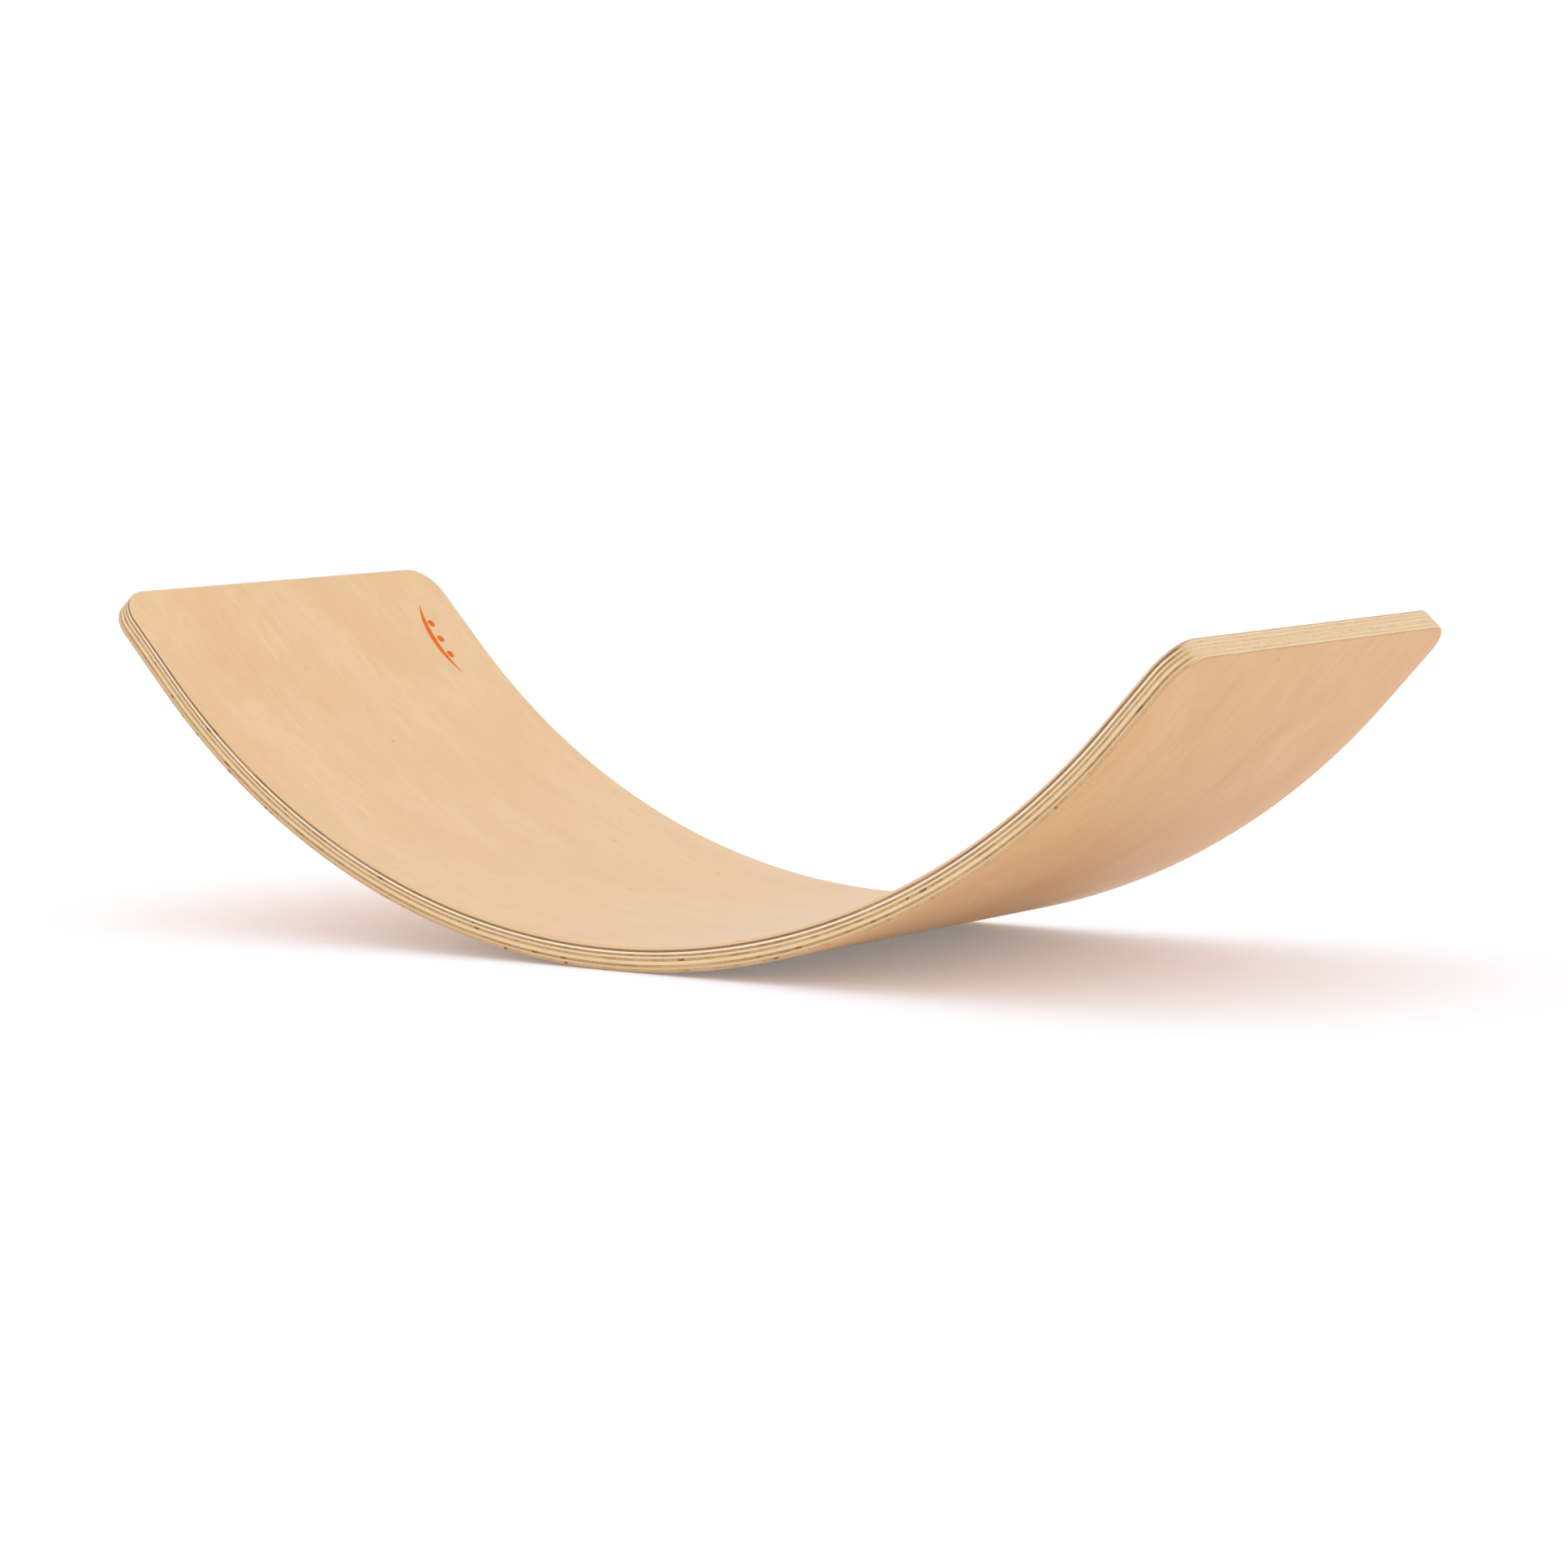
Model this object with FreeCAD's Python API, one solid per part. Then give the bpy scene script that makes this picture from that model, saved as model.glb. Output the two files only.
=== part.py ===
"""Curved balance board: eleven bent veneers, the glue lines that bond them, and a printed mark.

Millimetres, +Z up. X runs along the board and Y across it. The origin is where the middle of the
round underside touches the floor. The side profile is a circular arc about an axis parallel to Y,
carried on at both ends by a flat stretch tangent to the arc. Heights are measured square to the
underside, from the underside up.
"""
import FreeCAD, Part
import math
import os

# Outline of the board
LENGTH = 760.0  # between the tips of the underside, before their edges are rounded
WIDTH = 300.0
END_SLOPE = 47.0  # degrees that the flat ends rise
FLAT_END = 65.0  # length of each flat end
CORNER_RADIUS = 22.0  # the four corners, seen square on to the flat ends
ARRIS_RADIUS = 2.0  # rounding of every long edge and end, top and bottom

# Thickness of each layer
OUTER_FACE = 0.6
CROSS_VENEER = 1.2
LONG_VENEER = 1.2
CORE_VENEER = 2.0
INNER_FACE = 1.8
GLUE_LINE = 0.1

# Printed mark, on the inner face near the end at -X
MARK_FROM_END = 59.0  # from the end cut to the middle of the mark
MARK_FROM_SIDE = 37.0  # from the side at +Y to the middle of the mark
MARK_TILT = 6.0  # degrees off the board's length
MARK_LENGTH = 58.0
MARK_SAG = 9.0  # depth of the crescent's lower edge
MARK_STROKE = 4.4  # width of the crescent at its middle
MARK_DOTS = 3
MARK_DOT_PITCH = 13.0
MARK_DOT_RADIUS = 2.8
MARK_INK = 0.1

OVERRUN = 5.0  # how far a layer's cutter runs past the outside of the board

VENEERS = [
    ("outer_face_veneer", OUTER_FACE),
    ("cross_veneer_1", CROSS_VENEER),
    ("long_veneer_1", LONG_VENEER),
    ("cross_veneer_2", CROSS_VENEER),
    ("core_veneer", CORE_VENEER),
    ("cross_veneer_3", CROSS_VENEER),
    ("long_veneer_2", LONG_VENEER),
    ("cross_veneer_4", CROSS_VENEER),
    ("long_veneer_3", LONG_VENEER),
    ("cross_veneer_5", CROSS_VENEER),
    ("inner_face_veneer", INNER_FACE),
]

SLOPE = math.radians(END_SLOPE)
THICKNESS = sum(thickness for _, thickness in VENEERS) + GLUE_LINE * (len(VENEERS) - 1)
ROCKER_RADIUS = (LENGTH / 2 - FLAT_END * math.cos(SLOPE)) / math.sin(SLOPE)
END_HEIGHT = ROCKER_RADIUS * (1 - math.cos(SLOPE)) + FLAT_END * math.sin(SLOPE)


def side_line(height, overrun):
    """The line at this height, from -X to +X: flat end, arc, flat end."""
    centre = FreeCAD.Vector(0, 0, ROCKER_RADIUS)
    circle = Part.Circle(centre, FreeCAD.Vector(0, -1, 0), ROCKER_RADIUS - height)
    lowest = circle.parameter(FreeCAD.Vector(0, 0, height))
    arc = Part.ArcOfCircle(circle, lowest - SLOPE, lowest + SLOPE)
    run_x = (FLAT_END + overrun) * math.cos(SLOPE)
    run_z = (FLAT_END + overrun) * math.sin(SLOPE)
    return [
        Part.makeLine(arc.StartPoint + FreeCAD.Vector(-run_x, 0, run_z), arc.StartPoint),
        arc.toShape(),
        Part.makeLine(arc.EndPoint, arc.EndPoint + FreeCAD.Vector(run_x, 0, run_z)),
    ]


def bent_strip(low, high, overrun=0.0):
    """The bent strip between two heights, with its ends and sides run on by overrun."""
    under = side_line(low, overrun)
    over = side_line(high, overrun)
    end_cuts = [
        Part.makeLine(under[0].firstVertex().Point, over[0].firstVertex().Point),
        Part.makeLine(under[2].lastVertex().Point, over[2].lastVertex().Point),
    ]
    width = WIDTH + 2 * overrun
    side = Part.Face(Part.Wire(Part.sortEdges(under + over + end_cuts)[0]))
    side.translate(FreeCAD.Vector(0, -width / 2, 0))
    return side.extrude(FreeCAD.Vector(0, width, 0))


def rounded_board():
    """The whole board, with its four corners and both rims rounded."""
    board = bent_strip(0, THICKNESS)
    corners = [edge for edge in board.Edges if abs(edge.Length - THICKNESS) < 0.001]
    board = board.makeFillet(CORNER_RADIUS, corners)
    # Both faces are an arc between two flats, and these six are the largest. A rim edge bounds one.
    broad_faces = sorted(board.Faces, key=lambda face: face.Area)[-6:]
    edges = [edge for face in broad_faces for edge in face.Edges]
    rims = [edge for edge in edges if sum(edge.isSame(other) for other in edges) == 1]
    return board.makeFillet(ARRIS_RADIUS, rims)


def layers():
    """Name and height range of every layer, from the floor up, glue lines between the veneers."""
    found = []
    low = 0.0
    for count, (name, thickness) in enumerate(VENEERS):
        if count:
            found.append((f"glue_line_{count:02d}", low, low + GLUE_LINE))
            low += GLUE_LINE
        found.append((name, low, low + thickness))
        low += thickness
    return found


def layer_solid(board, low, high):
    """One layer of the board. The two face veneers are cut from past the outside."""
    low = low - OVERRUN if low < GLUE_LINE else low
    high = high + OVERRUN if high > THICKNESS - GLUE_LINE else high
    return board.common(bent_strip(low, high, OVERRUN)).Solids[0]


def printed_mark():
    """A shallow crescent under a row of dots, in ink that follows the inner face."""
    half = MARK_LENGTH / 2
    ends = [FreeCAD.Vector(-half, 0, 0), FreeCAD.Vector(half, 0, 0)]
    lower = Part.Arc(ends[0], FreeCAD.Vector(0, -MARK_SAG, 0), ends[1]).toShape()
    upper = Part.Arc(ends[1], FreeCAD.Vector(0, MARK_STROKE - MARK_SAG, 0), ends[0]).toShape()
    shapes = [Part.Face(Part.Wire([lower, upper]))]
    for count in range(MARK_DOTS):
        middle = FreeCAD.Vector((count - (MARK_DOTS - 1) / 2) * MARK_DOT_PITCH, 0, 0)
        dot = Part.makeCircle(MARK_DOT_RADIUS, middle)
        shapes.append(Part.Face(Part.Wire(dot)))
    stamp = Part.makeCompound([shape.extrude(FreeCAD.Vector(0, 0, 2 * OVERRUN)) for shape in shapes])
    stamp.rotate(FreeCAD.Vector(0, 0, 0), FreeCAD.Vector(0, 0, 1), -MARK_TILT)
    across = WIDTH / 2 - MARK_FROM_SIDE
    stamp.translate(FreeCAD.Vector(MARK_FROM_END, across, THICKNESS - OVERRUN))
    stamp.rotate(FreeCAD.Vector(0, 0, 0), FreeCAD.Vector(0, 1, 0), END_SLOPE)
    stamp.translate(FreeCAD.Vector(-LENGTH / 2, 0, END_HEIGHT))
    return bent_strip(THICKNESS, THICKNESS + MARK_INK).common(stamp)


os.makedirs("parts", exist_ok=True)
whole = rounded_board()
for name, low, high in layers():
    layer_solid(whole, low, high).exportStep(f"parts/{name}.step")
printed_mark().exportStep("parts/printed_mark.step")
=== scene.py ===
"""The looks of a curved balance board: eleven bent veneers, their glue lines and a printed mark.

Metres, +Z up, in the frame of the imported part: X along the board, Y across it, Z = 0 the floor.
"""
import math
import random

import bmesh
import bpy
from mathutils import Matrix, Vector, noise


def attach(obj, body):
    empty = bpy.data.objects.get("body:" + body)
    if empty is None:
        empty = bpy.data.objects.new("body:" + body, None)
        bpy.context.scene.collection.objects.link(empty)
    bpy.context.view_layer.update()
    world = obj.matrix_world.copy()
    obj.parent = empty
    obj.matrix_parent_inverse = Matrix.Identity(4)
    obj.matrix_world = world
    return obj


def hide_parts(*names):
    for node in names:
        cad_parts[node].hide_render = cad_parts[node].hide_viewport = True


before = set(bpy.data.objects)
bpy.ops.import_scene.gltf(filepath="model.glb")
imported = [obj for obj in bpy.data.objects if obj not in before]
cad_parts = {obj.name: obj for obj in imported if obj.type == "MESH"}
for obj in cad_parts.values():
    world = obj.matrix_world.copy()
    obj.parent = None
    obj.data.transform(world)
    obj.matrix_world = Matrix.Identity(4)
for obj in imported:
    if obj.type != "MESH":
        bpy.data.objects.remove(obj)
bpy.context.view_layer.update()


# ---- Outer face veneer -------------------------------------------------------------------------
# The thin ply that rolls on the floor, peeled from a birch log, with its grain along the board.
# It goes into the press first. The whole stack is bent, glued and cured round one mould, then
# trimmed, rounded over at the rim, sanded and lacquered as one piece.
MM = 0.001
BOARD_LENGTH = 760 * MM
BOARD_WIDTH = 300 * MM
BOARD_THICKNESS = 15 * MM
END_SLOPE = math.radians(47)
FLAT_END = 65 * MM
CORNER_RADIUS = 22 * MM
ARRIS_RADIUS = 2 * MM
MOULD_RADIUS = (BOARD_LENGTH / 2 - FLAT_END * math.cos(END_SLOPE)) / math.sin(END_SLOPE)
HALF_ARC = MOULD_RADIUS * END_SLOPE
HALF_SHEET = HALF_ARC + FLAT_END

CORNER_STEPS = 14
ARRIS_STEPS = 7
ROW_SPACING = 5 * MM  # between the crosswise rows of a ply's mesh
FACE_STEPS = 12  # from side to side of a face veneer
RING_ROOM = 0.03 * MM  # the least room between two rings of a rim
PLY_WANDER = 0.22 * MM  # how far a glue line strays from its even height
WANDER_ALONG, WANDER_ACROSS, WANDER_THROUGH = 14, 9, 330  # how often, to the metre
DEEPEST_GAP = 0.8 * MM
SHARPEST_SMOOTH_EDGE = math.radians(30)

OUTER_FACE_TOP = 0.6 * MM


def press(along, across, height):
    """Where a spot of the flat stack of veneers ends up in the bent board."""
    radius = MOULD_RADIUS - height
    turn = min(abs(along), HALF_ARC) / MOULD_RADIUS
    straight = max(abs(along) - HALF_ARC, 0)
    x = radius * math.sin(turn) + straight * math.cos(turn)
    z = MOULD_RADIUS - radius * math.cos(turn) + straight * math.sin(turn)
    return Vector((math.copysign(x, along), across, z))


def uneven(along, across, height):
    """The height at which a layer really lies: plies vary in thickness, the two faces don't."""
    spot = Vector((along * WANDER_ALONG, across * WANDER_ACROSS, height * WANDER_THROUGH))
    return height + PLY_WANDER * noise.noise(spot) * math.sin(math.pi * height / BOARD_THICKNESS)


def arris_lean(height):
    """Sine of the rim's lean at this height: 1 where the rounding meets a face, 0 on the wall."""
    from_face = min(height, BOARD_THICKNESS - height)
    return max(ARRIS_RADIUS - from_face, 0) / ARRIS_RADIUS


def rim_heights(low, high, extra):
    """Heights of a ply's rim rings: its two faces, and every few degrees round an arris."""
    heights = {low, high, *extra}
    for step in range(1, ARRIS_STEPS + 1):
        rise = ARRIS_RADIUS * (1 - math.cos(math.pi / 2 * step / ARRIS_STEPS))
        for height in (rise, BOARD_THICKNESS - rise):
            if low + RING_ROOM < height < high - RING_ROOM:
                heights.add(height)
    return sorted(heights)


def sheet_rows(height, spacing):
    """Crosswise rows of the trimmed sheet at this height, as (along, half width, rim angle)."""
    taken_in = ARRIS_RADIUS * (1 - math.sqrt(1 - arris_lean(height) ** 2))
    corner = CORNER_RADIUS - taken_in
    straight = HALF_SHEET - CORNER_RADIUS
    side = BOARD_WIDTH / 2 - CORNER_RADIUS
    turned = []
    for step in range(CORNER_STEPS + 1):
        angle = math.pi / 2 * step / CORNER_STEPS
        turned.append((straight + corner * math.cos(angle), side + corner * math.sin(angle), angle))
    count = round(2 * straight / spacing)
    rows = list(turned)
    for step in range(1, count):
        rows.append((straight * (1 - 2 * step / count), side + corner, math.pi / 2))
    rows += [(-along, half, angle) for along, half, angle in reversed(turned)]
    return rows


def gap_at(gaps, along, across):
    """How far the rim is missing at this spot, where a cross veneer tore or didn't meet the next."""
    deepest = 0.0
    for side, middle, half_length, depth in gaps:
        if side * across > 0 and abs(along - middle) < half_length:
            deepest = max(deepest, depth * (1 - ((along - middle) / half_length) ** 4))
    return deepest


def put_in_scene(name, data):
    """The scene's new object for a mesh, a light or a camera."""
    made = bpy.data.objects.new(name, data)
    bpy.context.scene.collection.objects.link(made)
    return made


def finished_mesh(name, mesh):
    """The scene's new object for a mesh that has all its faces."""
    data = bpy.data.meshes.new(name)
    mesh.to_mesh(data)
    mesh.free()
    return put_in_scene(name, data)


def pressed_ply(name, low, high, grain_across, spacing, across_steps, gaps=(), extra=()):
    """One layer. Its rim carries how square the fibres meet it, and how deep a gap is."""
    mesh = bmesh.new()
    sheet_place = mesh.verts.layers.float_vector.new("sheet_place")
    gap_depth = mesh.verts.layers.float.new("gap_depth")
    end_grain = mesh.loops.layers.float.new("end_grain")
    rings = []
    for height in rim_heights(low, high, extra):
        rows = sheet_rows(height, spacing)
        whole = height in (low, high)
        ring = {}
        for row, (along, half, _) in enumerate(rows):
            at_end = row in (0, len(rows) - 1)
            for step in range(across_steps + 1):
                at_side = step in (0, across_steps)
                if not (whole or at_end or at_side):
                    continue
                across = half * (2 * step / across_steps - 1)
                depth = gap_at(gaps, along, across) if at_side and not whole else 0.0
                level = uneven(along, across, height)
                vert = mesh.verts.new(press(along, across - math.copysign(depth, across), level))
                vert[sheet_place] = (along, across, height)
                vert[gap_depth] = depth / DEEPEST_GAP
                ring[row, step] = vert
        rings.append((height, rows, ring))

    last_row = len(rings[0][1]) - 1
    for (_, _, ring), outward in ((rings[0], False), (rings[-1], True)):
        for row in range(last_row):
            for step in range(across_steps):
                corners = [ring[row, step], ring[row, step + 1],
                           ring[row + 1, step + 1], ring[row + 1, step]]
                mesh.faces.new(corners if outward else corners[::-1])
    around = [(0, step) for step in range(across_steps + 1)]
    around += [(row, across_steps) for row in range(1, last_row + 1)]
    around += [(last_row, step) for step in range(across_steps - 1, -1, -1)]
    around += [(row, 0) for row in range(last_row - 1, 0, -1)]
    for (foot, rows, lower), (top, _, upper) in zip(rings, rings[1:]):
        for here, there in zip(around, around[1:] + around[:1]):
            face = mesh.faces.new((lower[here], upper[here], upper[there], lower[there]))
            spots = ((here, foot), (here, top), (there, top), (there, foot))
            for loop, ((row, _), height) in zip(face.loops, spots):
                angle = rows[row][2]
                facing = math.sin(angle) if grain_across else math.cos(angle)
                loop[end_grain] = facing ** 2 * (1 - arris_lean(height) ** 2)
    bmesh.ops.recalc_face_normals(mesh, faces=mesh.faces)
    ply = finished_mesh(name, mesh)
    ply.data.shade_smooth()
    ply.data.set_sharp_from_angle(angle=SHARPEST_SMOOTH_EDGE)
    return ply


class Wire:
    """One socket among a finish's nodes. Sums on wires add Math nodes to the same finish."""

    def __init__(self, tree, socket=None):
        self.tree = tree
        self.socket = socket

    def add(self, kind, settings=None, sockets=None, take=0):
        """Adds a node, sets it up, then fills its sockets. The new wire is one of its outputs."""
        node = self.tree.nodes.new(kind)
        for name, value in (settings or {}).items():
            setattr(node, name, value)
        for name, value in (sockets or {}).items():
            if isinstance(value, Wire):
                self.tree.links.new(value.socket, node.inputs[name])
            else:
                node.inputs[name].default_value = value
        return Wire(self.tree, node.outputs[take] if node.outputs else None)

    def math(self, operation, first, second):
        return self.add("ShaderNodeMath", {"operation": operation}, {0: first, 1: second})

    def __add__(self, other):
        return self.math("ADD", self, other)

    def __sub__(self, other):
        return self.math("SUBTRACT", self, other)

    def __rsub__(self, other):
        return self.math("SUBTRACT", other, self)

    def __mul__(self, other):
        return self.math("MULTIPLY", self, other)

    __radd__ = __add__
    __rmul__ = __mul__

    def moved(self, seed):
        """The same place further on, so that no two plies show the same grain."""
        step = (seed, seed / 3, 0)
        return self.add("ShaderNodeVectorMath", {"operation": "ADD"}, {0: self, 1: step})

    def stretched(self, scale):
        """The same place, counted in so many steps to the metre along, across and through."""
        return self.add("ShaderNodeVectorMath", {"operation": "MULTIPLY"}, {0: self, 1: scale})

    def cloud(self, detail, roughness, distortion=0.0):
        """Soft noise at this place, about 0 to 1."""
        sockets = {"Vector": self, "Scale": 1.0, "Detail": detail, "Roughness": roughness}
        sockets["Distortion"] = distortion
        return self.add("ShaderNodeTexNoise", None, sockets)

    def rise(self, start, end):
        """0 below start, 1 above end, eased between. Falls instead if start is above end."""
        sockets = {"Value": self, "From Min": start, "From Max": end}
        return self.add("ShaderNodeMapRange", {"interpolation_type": "SMOOTHSTEP"}, sockets)

    def between(self, first, second):
        """The colour that lies this share of the way from the first to the second."""
        sockets = {0: self, 6: first, 7: second}
        return self.add("ShaderNodeMix", {"data_type": "RGBA"}, sockets, take=2)

    def blend(self, other, share):
        """This colour with a share of the other laid over it."""
        return share.between(self, other)

    def bump(self, strength, distance):
        """The way the surface faces, where this wire is its fine relief."""
        sockets = {"Strength": strength, "Distance": distance, "Height": self}
        return self.add("ShaderNodeBump", None, sockets)

    def cover(self, sockets):
        """Closes the finish with one shader."""
        shader = self.add("ShaderNodeBsdfPrincipled", None, sockets)
        self.add("ShaderNodeOutputMaterial", None, {0: shader})


def new_finish(name):
    """An empty finish, and a wire to hang its nodes on."""
    finish = bpy.data.materials.new(name)
    finish.use_nodes = True
    finish.node_tree.nodes.clear()
    return finish, Wire(finish.node_tree)


def paint(red, green, blue):
    """A colour from a swatch card, 0 to 255, as the light it reflects."""
    light = []
    for value in (red, green, blue):
        value /= 255
        light.append(value / 12.92 if value <= 0.04045 else ((value + 0.055) / 1.055) ** 2.4)
    return (*light, 1.0)


# How fine each figure of the wood is, in steps to the metre along, across and through
BLOTCHES = (9, 16, 0)
MOTTLES = (60, 110, 0)
GROWTH_FIELD = (2.2, 12, 0)
GROWTH_RINGS = 7
FIBRES = (26, 950, 950)
STROKES = (24, 240, 0)
FLECKS = (240, 1500, 1500)
KNOTS = (15, 34, 0)
TICKS = (620, 620, 60)
PATCHES = (85, 85, 160)
DRIFTS = (16, 16, 80)
SHEEN = (40, 60, 60)

PALE_STREAK = paint(250, 226, 194)
PIN_KNOT = paint(140, 100, 64)
SANDED_CUT = paint(226, 192, 148)
# Painted shade for the gaps in the rim: a dark brown, laid on more strongly the deeper the gap.
GAP_PAINTED_SHADE = paint(140, 100, 62)
PALER_ALONG_SHARE = 0.6

# The lacquer, the same on every veneer
LACQUER = {"Coat Weight": 0.12, "Coat Roughness": 0.35, "Specular IOR Level": 0.4}
LACQUER_ROUGHNESS = 0.44
CUT_ROUGHNESS = 0.18  # added where fibres are cut through
GRAIN_RELIEF = (0.35, 0.06 * MM)  # strength and depth


def face_grain(place, seed, light, warm, line, paler_along):
    """Colour and relief of lacquered face veneer: mottling, figure, fibres, flecks, pin knots."""
    spot = place.moved(seed)
    blotch = spot.stretched(BLOTCHES).cloud(3, 0.55, 0.5).rise(0.34, 0.66)
    mottle = spot.stretched(MOTTLES).cloud(2.5, 0.6, 0.4).rise(0.36, 0.68)
    field = spot.stretched(GROWTH_FIELD).cloud(1.5, 0.45, 0.6) * GROWTH_RINGS
    figure = field.math("PINGPONG", field, 0.5).rise(0.22, 0.0)
    fibre = spot.stretched(FIBRES).cloud(3, 0.65)
    stroke = spot.stretched(STROKES).cloud(3, 0.6, 0.3)
    fleck = spot.stretched(FLECKS).cloud(2, 0.6)
    dark_fleck = fleck.rise(0.60, 0.72)
    pale_fleck = fleck.rise(0.40, 0.30)
    colour = blotch.between(light, warm).blend(warm, mottle * 0.6)
    # The colour turns paler by place along the board, towards +X.
    if paler_along:
        start, end, paler = paler_along
        along = place.add("ShaderNodeSeparateXYZ", None, {0: place})
        colour = colour.blend(paler, along.rise(start, end) * PALER_ALONG_SHARE)
    grain = figure * 0.07 + fibre.rise(0.40, 0.75) * 0.12 + dark_fleck * 0.15
    colour = colour.blend(line, grain)
    colour = colour.blend(line, stroke.rise(0.52, 0.74) * 0.11)
    colour = colour.blend(PALE_STREAK, stroke.rise(0.46, 0.28) * 0.07 + pale_fleck * 0.18)
    cells = spot.stretched(KNOTS)
    distance, cell = [
        cells.add("ShaderNodeTexVoronoi", {"voronoi_dimensions": "2D"},
                  {"Vector": cells, "Scale": 1.0}, take=output) for output in (0, 1)]
    chosen = cell.add("ShaderNodeSeparateColor", None, {0: cell}).rise(0.94, 0.97)
    knot = distance.rise(0.040, 0.012) * chosen
    colour = colour.blend(PIN_KNOT, knot * 0.35)
    relief = fibre * 0.5 - dark_fleck * 0.4 - knot * 0.6
    return colour, relief


def end_grain_look(place, seed, base, dark):
    """Colour and relief where fibres are cut through: torn ticks, and dark patches in a row."""
    spot = place.moved(seed)
    tick = spot.stretched(TICKS).cloud(2, 0.6).rise(0.46, 0.66)
    patch = spot.stretched(PATCHES).cloud(2.5, 0.6).rise(0.50, 0.66)
    drift = spot.stretched(DRIFTS).cloud(2, 0.5)
    colour = (patch * 0.6).between(base, dark).blend(dark, tick * 0.35)
    colour = colour.blend(SANDED_CUT, drift.rise(0.5, 0.75) * 0.45)
    relief = tick * -0.7 + patch * -0.5
    return colour, relief


def veneer_finish(name, seed, light, warm, line, cut, cut_dark, paler_along=None):
    """Sanded, clear-lacquered birch. Fibres cut across at the rim take the darker look."""
    finish, bench = new_finish(name)
    place = bench.add("ShaderNodeAttribute", {"attribute_name": "sheet_place"}, take=1)
    end_grain = bench.add("ShaderNodeAttribute", {"attribute_name": "end_grain"}, take=2)
    gap_depth = bench.add("ShaderNodeAttribute", {"attribute_name": "gap_depth"}, take=2)
    cut_share = end_grain.rise(0.05, 0.55)
    colour, relief = face_grain(place, seed, light, warm, line, paler_along)
    cut_colour, cut_relief = end_grain_look(place, seed, cut, cut_dark)
    colour = colour.blend(cut_colour, cut_share)
    # Painted shade: inside each gap the rim is darkened more the deeper the gap goes.
    colour = colour.blend(GAP_PAINTED_SHADE, gap_depth.rise(0.02, 0.5) * 0.7)
    relief = relief * (1 - cut_share) + cut_relief * cut_share * 2
    sheen = place.stretched(SHEEN).cloud(2, 0.5)
    rough = LACQUER_ROUGHNESS + sheen * 0.10 + cut_share * CUT_ROUGHNESS
    normal = relief.bump(*GRAIN_RELIEF)
    bench.cover({"Base Color": colour, "Roughness": rough, "Normal": normal, **LACQUER})
    return finish


outer_face = pressed_ply("outer_face_veneer_wood", 0, OUTER_FACE_TOP, False,
                         ROW_SPACING, FACE_STEPS)
outer_face.data.materials.append(veneer_finish(
    "lacquered birch underside", 3.7,
    light=paint(224, 179, 125), warm=paint(219, 169, 112), line=paint(192, 141, 88),
    cut=paint(206, 168, 126), cut_dark=paint(176, 136, 94)))
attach(outer_face, "root")
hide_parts("outer_face_veneer")


# ---- Cross veneers -----------------------------------------------------------------------------
# Five plies laid with their grain across the board, which stop it splitting. Along the two long
# sides their fibres are cut through, so they show as brown lines with ticks, tears and small gaps.
CROSS_PLIES = {
    "cross_veneer_1": (0.7 * MM, 1.9 * MM, 16, (208, 172, 126), (172, 132, 88)),
    "cross_veneer_2": (3.3 * MM, 4.5 * MM, 15, (184, 146, 98), (140, 104, 64)),
    "cross_veneer_3": (6.7 * MM, 7.9 * MM, 13, (196, 158, 108), (142, 106, 66)),
    "cross_veneer_4": (9.3 * MM, 10.5 * MM, 10, (182, 145, 99), (136, 102, 66)),
    "cross_veneer_5": (11.9 * MM, 13.1 * MM, 3, (150, 113, 74), (118, 86, 56)),
}
CROSS_SPACING = 1 * MM  # close enough together to draw the gaps
CROSS_STEPS = 2
GAP_HALF_LENGTH = (1.0 * MM, 3.0 * MM)
GAP_DEPTH = (0.25 * MM, DEEPEST_GAP)
GAP_WALL = 0.14 * MM  # what is left of the ply above and below a gap
GAP_FROM_END = 30 * MM
FIRST_GAP_SEED = 40


def torn_gaps(count, seed):
    """Where one ply's gaps are: side, middle, half length and depth."""
    draw = random.Random(seed)
    furthest = HALF_SHEET - GAP_FROM_END
    gaps = []
    for _ in range(count):
        side = draw.choice((-1, 1))
        middle = draw.uniform(-furthest, furthest)
        gaps.append((side, middle, draw.uniform(*GAP_HALF_LENGTH), draw.uniform(*GAP_DEPTH)))
    return gaps


for count, (node, (low, high, gap_count, cut, cut_dark)) in enumerate(CROSS_PLIES.items()):
    ply = pressed_ply(f"{node}_wood", low, high, True, CROSS_SPACING, CROSS_STEPS,
                      gaps=torn_gaps(gap_count, FIRST_GAP_SEED + count),
                      extra=(low + GAP_WALL, (low + high) / 2, high - GAP_WALL))
    ply.data.materials.append(veneer_finish(
        f"birch {node}", 11.3 + count,
        light=paint(240, 212, 172), warm=paint(232, 200, 156), line=paint(200, 160, 114),
        cut=paint(*cut), cut_dark=paint(*cut_dark)))
    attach(ply, "root")
    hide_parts(node)


# ---- Long veneers and core ---------------------------------------------------------------------
# Three plies with their grain along the board and a thicker core. Along the long sides they are
# cut with the fibres and show cream. Only at the two ends are their fibres cut through.
LONG_PLIES = {
    "long_veneer_1": (2.0 * MM, 3.2 * MM, (226, 190, 142)),
    "core_veneer": (4.6 * MM, 6.6 * MM, (238, 206, 160)),
    "long_veneer_2": (8.0 * MM, 9.2 * MM, (244, 212, 168)),
    "long_veneer_3": (10.6 * MM, 11.8 * MM, (252, 232, 196)),
}
HIDDEN_STEPS = 4  # from side to side of a layer that shows only at its rim
WARMER = 0.96

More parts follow.
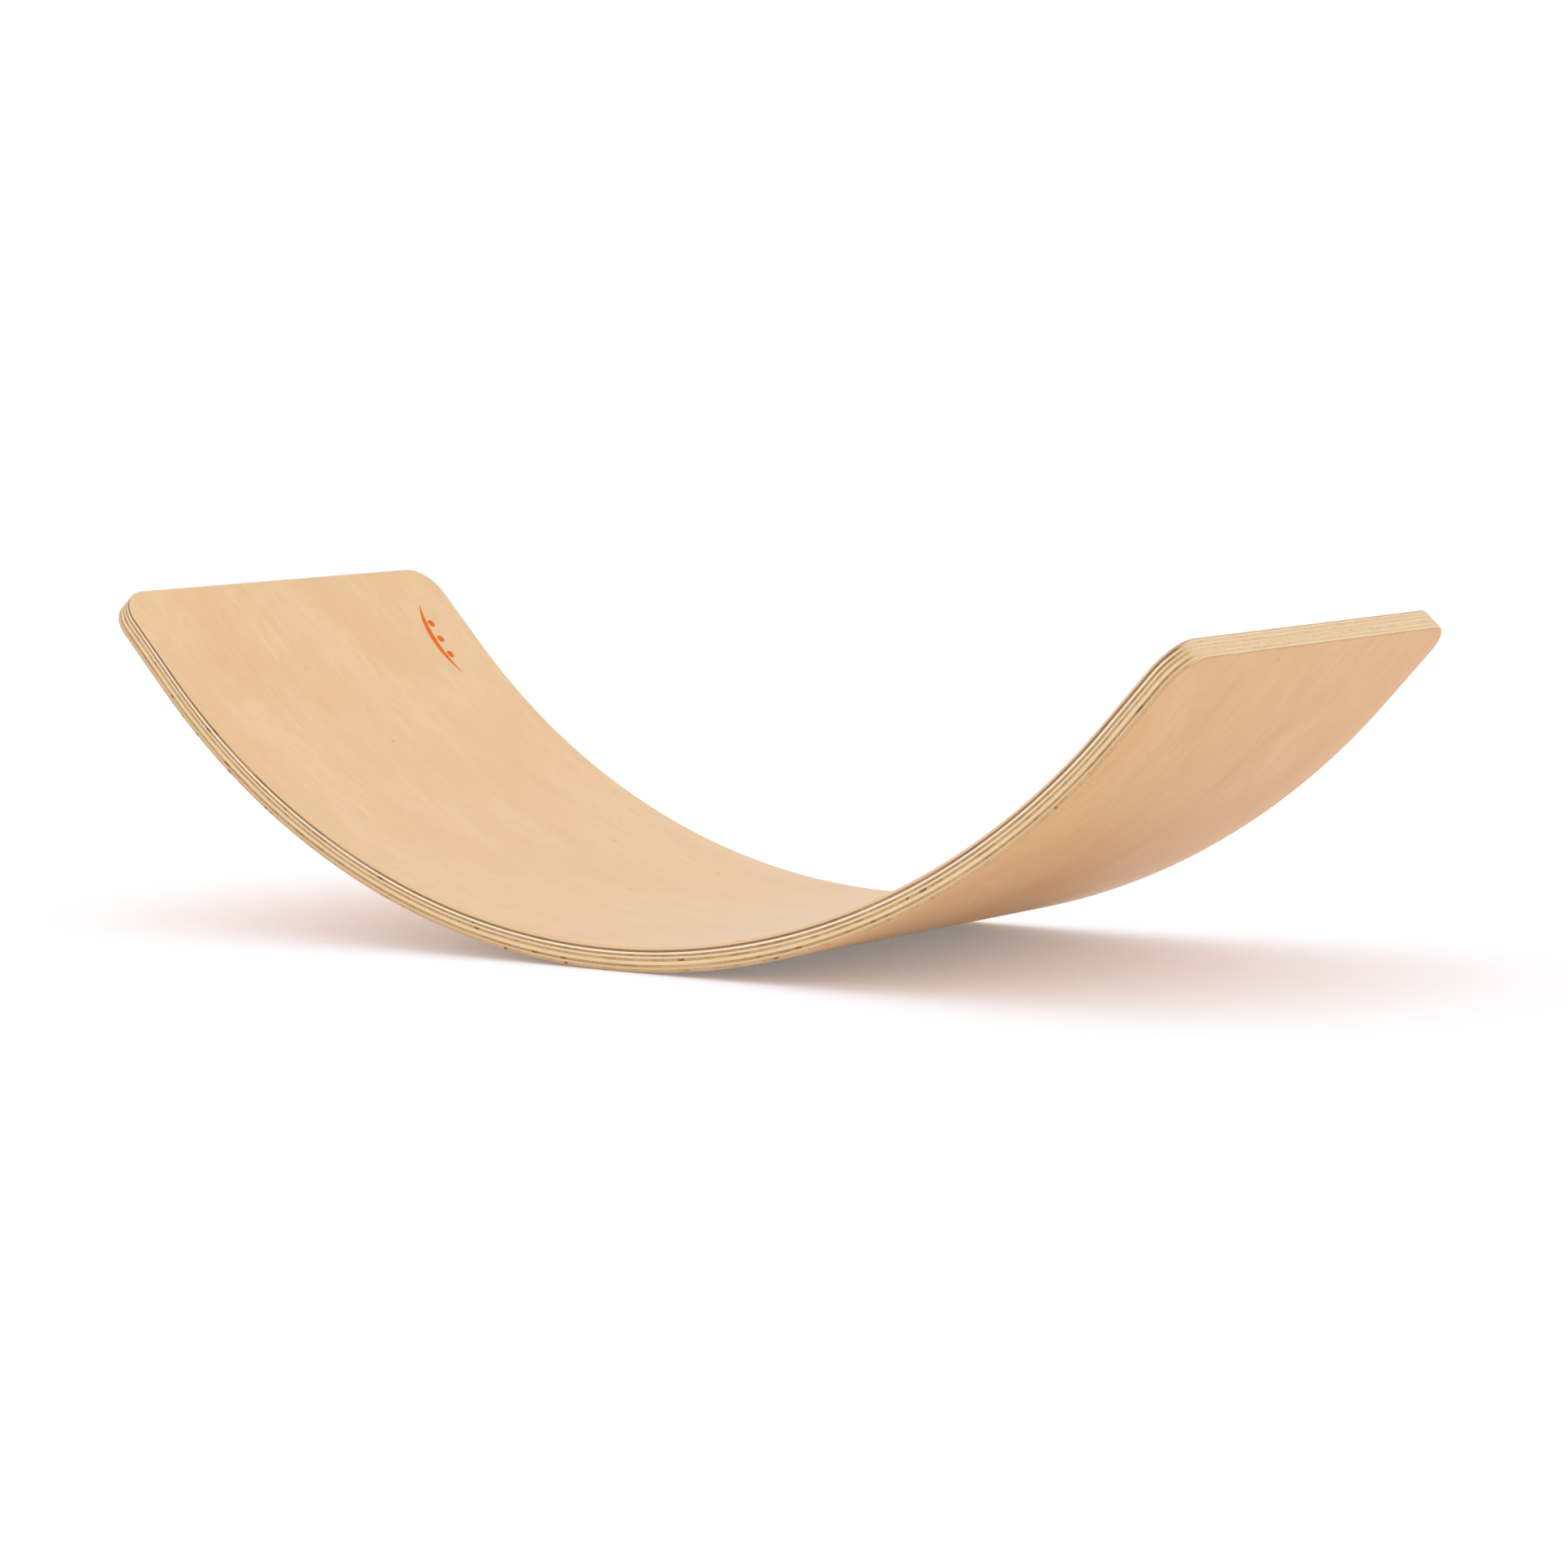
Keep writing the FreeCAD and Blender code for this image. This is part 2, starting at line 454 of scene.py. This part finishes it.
for count, (node, (low, high, cream)) in enumerate(LONG_PLIES.items()):
    ply = pressed_ply(f"{node}_wood", low, high, False, ROW_SPACING, HIDDEN_STEPS)
    ply.data.materials.append(veneer_finish(
        f"birch {node}", 23.9 + count,
        light=paint(*cream), warm=paint(*[round(value * WARMER) for value in cream]),
        line=paint(196, 156, 110), cut=paint(230, 198, 152), cut_dark=paint(210, 174, 126)))
    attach(ply, "root")
    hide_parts(node)


# ---- Inner face veneer -------------------------------------------------------------------------
# The top ply that a person stands, sits or lies on: the clearest veneer of the stack, with its
# grain along the board, sanded fine and lacquered to a soft sheen.
INNER_FACE_FOOT = 13.2 * MM
# Where along the board the top face turns paler, and the paler colour.
INNER_FACE_PALER_ALONG = (-0.42, 0.10, paint(223, 188, 152))  # from and to, along the board

inner_face = pressed_ply("inner_face_veneer_wood", INNER_FACE_FOOT, BOARD_THICKNESS, False,
                         ROW_SPACING, FACE_STEPS)
inner_face.data.materials.append(veneer_finish(
    "lacquered birch top", 7.1,
    light=paint(231, 196, 151), warm=paint(227, 187, 140), line=paint(204, 158, 112),
    cut=paint(212, 176, 134), cut_dark=paint(184, 144, 102), paler_along=INNER_FACE_PALER_ALONG))
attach(inner_face, "root")
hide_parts("inner_face_veneer")


# ---- Glue lines --------------------------------------------------------------------------------
# Ten films of cured urea glue, a tenth of a millimetre thick, squeezed out level with the rim and
# sanded with it. They are amber and a little glossier than the wood.
GLUE_LINE = 0.1 * MM
GLUE_FEET = [0.6, 1.9, 3.2, 4.5, 6.6, 7.9, 9.2, 10.5, 11.8, 13.1]  # millimetres
GLUE_BLOBS = (180, 180, 900)

glue_finish, pot = new_finish("cured amber glue")
glue_place = pot.add("ShaderNodeAttribute", {"attribute_name": "sheet_place"}, take=1)
glue_blobs = glue_place.stretched(GLUE_BLOBS).cloud(2, 0.6)
pot.cover({
    "Base Color": glue_blobs.rise(0.35, 0.65).between(paint(164, 126, 86), paint(128, 92, 58)),
    "Roughness": 0.28 + glue_blobs * 0.14,
    "Normal": glue_blobs.bump(0.3, 0.04 * MM)})

for count, foot in enumerate(GLUE_FEET, start=1):
    film = pressed_ply(f"glue_line_{count:02d}_film", foot * MM, foot * MM + GLUE_LINE, True,
                       ROW_SPACING, HIDDEN_STEPS)
    film.data.materials.append(glue_finish)
    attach(film, "root")
    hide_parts(f"glue_line_{count:02d}")


# ---- Printed mark ------------------------------------------------------------------------------
# A small decoration on the top face, near the end at -X, pad-printed in orange ink over the
# lacquer: a shallow crescent under three dots.
MARK_FROM_END = 59 * MM
MARK_FROM_SIDE = 37 * MM
MARK_TILT = math.radians(-6)
MARK_LENGTH = 58 * MM
MARK_SAG = 9 * MM
MARK_STROKE = 4.4 * MM
MARK_DOTS = 3
MARK_DOT_PITCH = 13 * MM
MARK_DOT_RADIUS = 2.8 * MM
INK_THICKNESS = 0.1 * MM
INK_SHOULDER = 0.12 * MM  # how far the film thins at its outline
INK_COVER = (500, 500, 500)
CRESCENT_STEPS = 48
DOT_STEPS = 32
TIP_SHOULDERS = 3  # how many shoulders the film is drawn in at a tip
TIP_CLOSING = 8  # the higher, the nearer the tips the shoulder of an edge runs out


def printed(x, y, lift):
    """A spot of the mark, measured from its middle, laid on the top face and lifted off it."""
    from_end = MARK_FROM_END + x * math.cos(MARK_TILT) - y * math.sin(MARK_TILT)
    across = BOARD_WIDTH / 2 - MARK_FROM_SIDE + x * math.sin(MARK_TILT) + y * math.cos(MARK_TILT)
    past_flat = max(from_end - FLAT_END, 0) * MOULD_RADIUS / (MOULD_RADIUS - BOARD_THICKNESS)
    along = -(HALF_SHEET - min(from_end, FLAT_END) - past_flat)
    return press(along, across, BOARD_THICKNESS + lift)


def arc_height(x, sag):
    """Height of a shallow arc at x, from 0 at the crescent's tips to -sag in its middle."""
    half = MARK_LENGTH / 2
    radius = (half ** 2 + sag ** 2) / (2 * sag)
    return radius - sag - math.sqrt(radius ** 2 - x ** 2)


def ink_patch(ink, outline_at):
    """The foot and the top of one film of ink, walled in. outline_at draws it for a shoulder."""
    foot = [ink.verts.new(printed(x, y, 0)) for x, y in outline_at(0)]
    top = [ink.verts.new(printed(x, y, INK_THICKNESS)) for x, y in outline_at(INK_SHOULDER)]
    for here in range(len(foot)):
        there = (here + 1) % len(foot)
        ink.faces.new((foot[here], foot[there], top[there], top[here]))
    return foot, top


def crescent(shoulder):
    """Outline of the crescent, lower edge then upper, drawn in by the shoulder."""
    reach = MARK_LENGTH / 2 - TIP_SHOULDERS * shoulder
    lower, upper = [], []
    for step in range(CRESCENT_STEPS + 1):
        x = reach * (2 * step / CRESCENT_STEPS - 1)
        drawn_in = shoulder * (1 - (x / reach) ** TIP_CLOSING)
        lower.append((x, arc_height(x, MARK_SAG) + drawn_in))
        upper.append((x, arc_height(x, MARK_SAG - MARK_STROKE) - drawn_in))
    return lower + upper[-2:0:-1]


def dot(middle):
    """Outline of one dot, as a function of the shoulder."""
    def outline(shoulder):
        radius = MARK_DOT_RADIUS - shoulder
        turns = [2 * math.pi * step / DOT_STEPS for step in range(DOT_STEPS)]
        return [(middle + radius * math.cos(turn), radius * math.sin(turn)) for turn in turns]
    return outline


ink = bmesh.new()
for count in range(MARK_DOTS):
    foot, top = ink_patch(ink, dot((count - (MARK_DOTS - 1) / 2) * MARK_DOT_PITCH))
    ink.faces.new(foot[::-1])
    ink.faces.new(top)
for loop, facing_up in zip(ink_patch(ink, crescent), (False, True)):
    lower, upper = loop[:CRESCENT_STEPS + 1], loop[CRESCENT_STEPS + 1:][::-1]
    upper = [lower[0], *upper, lower[-1]]
    for step in range(CRESCENT_STEPS):
        strip = [lower[step], lower[step + 1], upper[step + 1], upper[step]]
        strip = list(dict.fromkeys(strip))  # the tips are triangles
        ink.faces.new(strip if facing_up else strip[::-1])
bmesh.ops.recalc_face_normals(ink, faces=ink.faces)
mark = finished_mesh("printed_mark_ink", ink)

ink_finish, well = new_finish("orange printing ink")
ink_place = well.add("ShaderNodeTexCoord", take=3)
ink_cover = ink_place.stretched(INK_COVER).cloud(3, 0.6)
well.cover({
    "Base Color": ink_cover.rise(0.3, 0.75).between(paint(224, 98, 8), paint(231, 112, 18)),
    "Roughness": 0.45 + ink_cover * 0.15,
    "Normal": ink_cover.bump(0.2, 0.03 * MM),
    "Specular IOR Level": 0.15})
mark.data.materials.append(ink_finish)
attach(mark, "root")
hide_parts("printed_mark")


# ---- Floor, light and camera -------------------------------------------------------------------
# A matt white light table that glows a little itself, a bright even surround and one big soft
# light overhead.
FLOOR_RADIUS = 60.0
FLOOR_SIDES = 96
FLOOR_WHITE = (0.91, 0.88, 0.91, 1)
FLOOR_GLOW = (0.11, 0.14, 0.16, 1)  # cool, against the warm light that the wood throws down
SURROUND_LIGHT = 1.02
KEY_POWER = 4.0
KEY_SIZE = 2.4
KEY_PLACE = Vector((-0.5, -0.2, 2.2))
CAMERA_TURN = math.radians(34.59)
CAMERA_RISE = math.radians(5.79)
CAMERA_ROLL = math.radians(-0.18)
CAMERA_DISTANCE = 3.0696
CAMERA_AIM = Vector((0.0171, 0, 0.0952))
CAMERA_LENS = 119.54
CAMERA_SENSOR = 36.0
FURTHEST_SEEN = 200

disc = bmesh.new()
bmesh.ops.create_circle(disc, cap_ends=True, segments=FLOOR_SIDES, radius=FLOOR_RADIUS)
studio_floor = finished_mesh("studio_floor", disc)
floor_finish, floor_bench = new_finish("matt white floor")
floor_bench.cover({
    "Base Color": FLOOR_WHITE, "Emission Color": FLOOR_GLOW, "Emission Strength": 1.0,
    "Roughness": 0.9, "Specular IOR Level": 0.0})
studio_floor.data.materials.append(floor_finish)

surround = bpy.data.worlds.new("bright surround")
surround.use_nodes = True
surround.node_tree.nodes["Background"].inputs["Color"].default_value = (1, 1, 1, 1)
surround.node_tree.nodes["Background"].inputs["Strength"].default_value = SURROUND_LIGHT
bpy.context.scene.world = surround

key = bpy.data.lights.new("soft key", "AREA")
key.shape = "DISK"
key.size = KEY_SIZE
key.energy = KEY_POWER
key_light = put_in_scene("soft key", key)
key_light.location = KEY_PLACE
key_light.rotation_euler = KEY_PLACE.to_track_quat("Z", "Y").to_euler()

back = Vector((math.sin(CAMERA_TURN) * math.cos(CAMERA_RISE),
               -math.cos(CAMERA_TURN) * math.cos(CAMERA_RISE), math.sin(CAMERA_RISE)))
level = Vector((math.cos(CAMERA_TURN), math.sin(CAMERA_TURN), 0))
upright = back.cross(level)
right = level * math.cos(CAMERA_ROLL) + upright * math.sin(CAMERA_ROLL)
up = upright * math.cos(CAMERA_ROLL) - level * math.sin(CAMERA_ROLL)
lens = bpy.data.cameras.new("camera")
lens.lens = CAMERA_LENS
lens.sensor_width = CAMERA_SENSOR
lens.clip_end = FURTHEST_SEEN
camera = put_in_scene("camera", lens)
axes = Matrix((right, up, back)).transposed().to_4x4()
camera.matrix_world = Matrix.Translation(CAMERA_AIM + back * CAMERA_DISTANCE) @ axes
bpy.context.scene.camera = camera
bpy.context.scene.view_settings.view_transform = "Standard"
